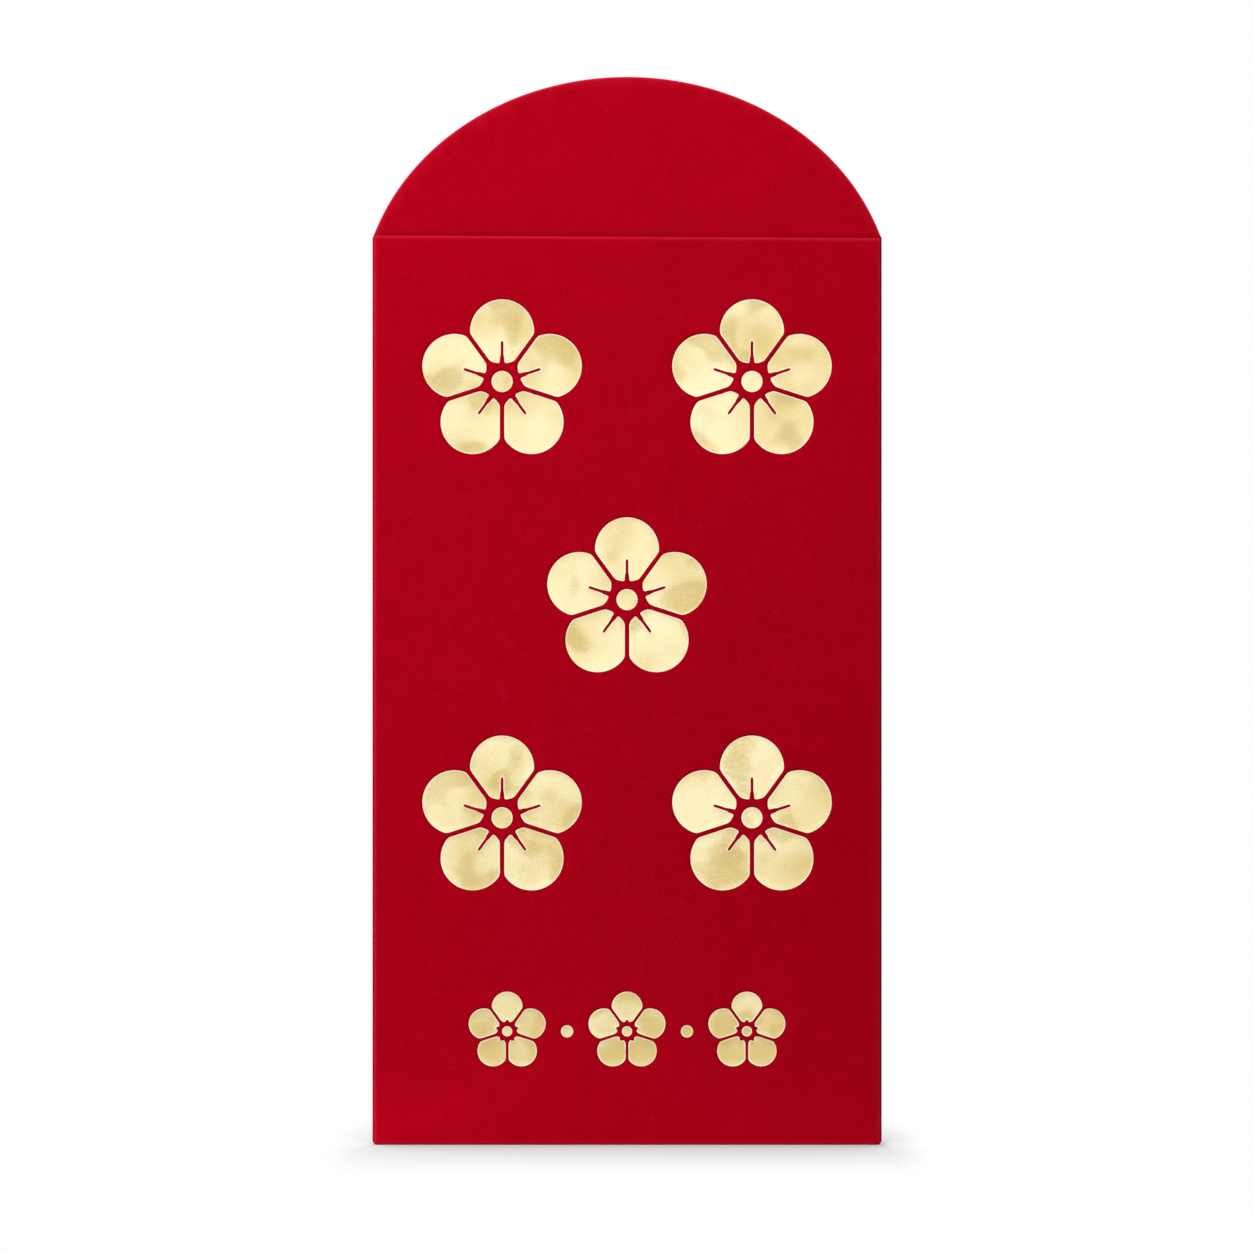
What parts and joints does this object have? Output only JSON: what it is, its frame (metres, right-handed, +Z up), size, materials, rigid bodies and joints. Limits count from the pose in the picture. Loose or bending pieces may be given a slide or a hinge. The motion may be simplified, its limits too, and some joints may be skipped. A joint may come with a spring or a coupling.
{
  "type": "red envelope",
  "caption": "Red paper money envelope with a rounded closing flap that folds over its back, a glued note pocket with a thumb throat, and gold foil blossoms pressed into the front.",
  "frame": {"origin": "on the standing surface, under the middle of the packet's bottom fold", "axes": "X across the packet, +Y from the printed front to the back, +Z up towards the closing flap"},
  "size_m": [0.09, 0.0028, 0.1885],
  "materials": {
    "red_paper": "matte",
    "gold_foil": "satin",
    "glue": "satin"
  },
  "bodies": {
    "packet": {"front_panel": "red_paper", "back_panel": "red_paper", "left_fold": "red_paper", "right_fold": "red_paper", "bottom_fold": "red_paper", "side_seam_flap": "red_paper", "bottom_flap": "red_paper", "foil_blossom_1": "gold_foil", "foil_blossom_2": "gold_foil", "foil_blossom_3": "gold_foil", "foil_blossom_4": "gold_foil", "foil_blossom_5": "gold_foil", "foil_row_blossom_1": "gold_foil", "foil_row_blossom_2": "gold_foil", "foil_row_blossom_3": "gold_foil", "foil_row_dots": "gold_foil", "side_seam_glue": "glue", "bottom_seam_glue": "glue"},
    "flap": {"closing_flap": "red_paper"}
  },
  "joints": [
    {"name": "flap_fold", "type": "hinge", "parent": "packet", "child": "flap", "pos_m": [0, 0.00007, 0.1604], "axis": [-1, 0, 0], "range_deg": [0, 178]}
  ]
}
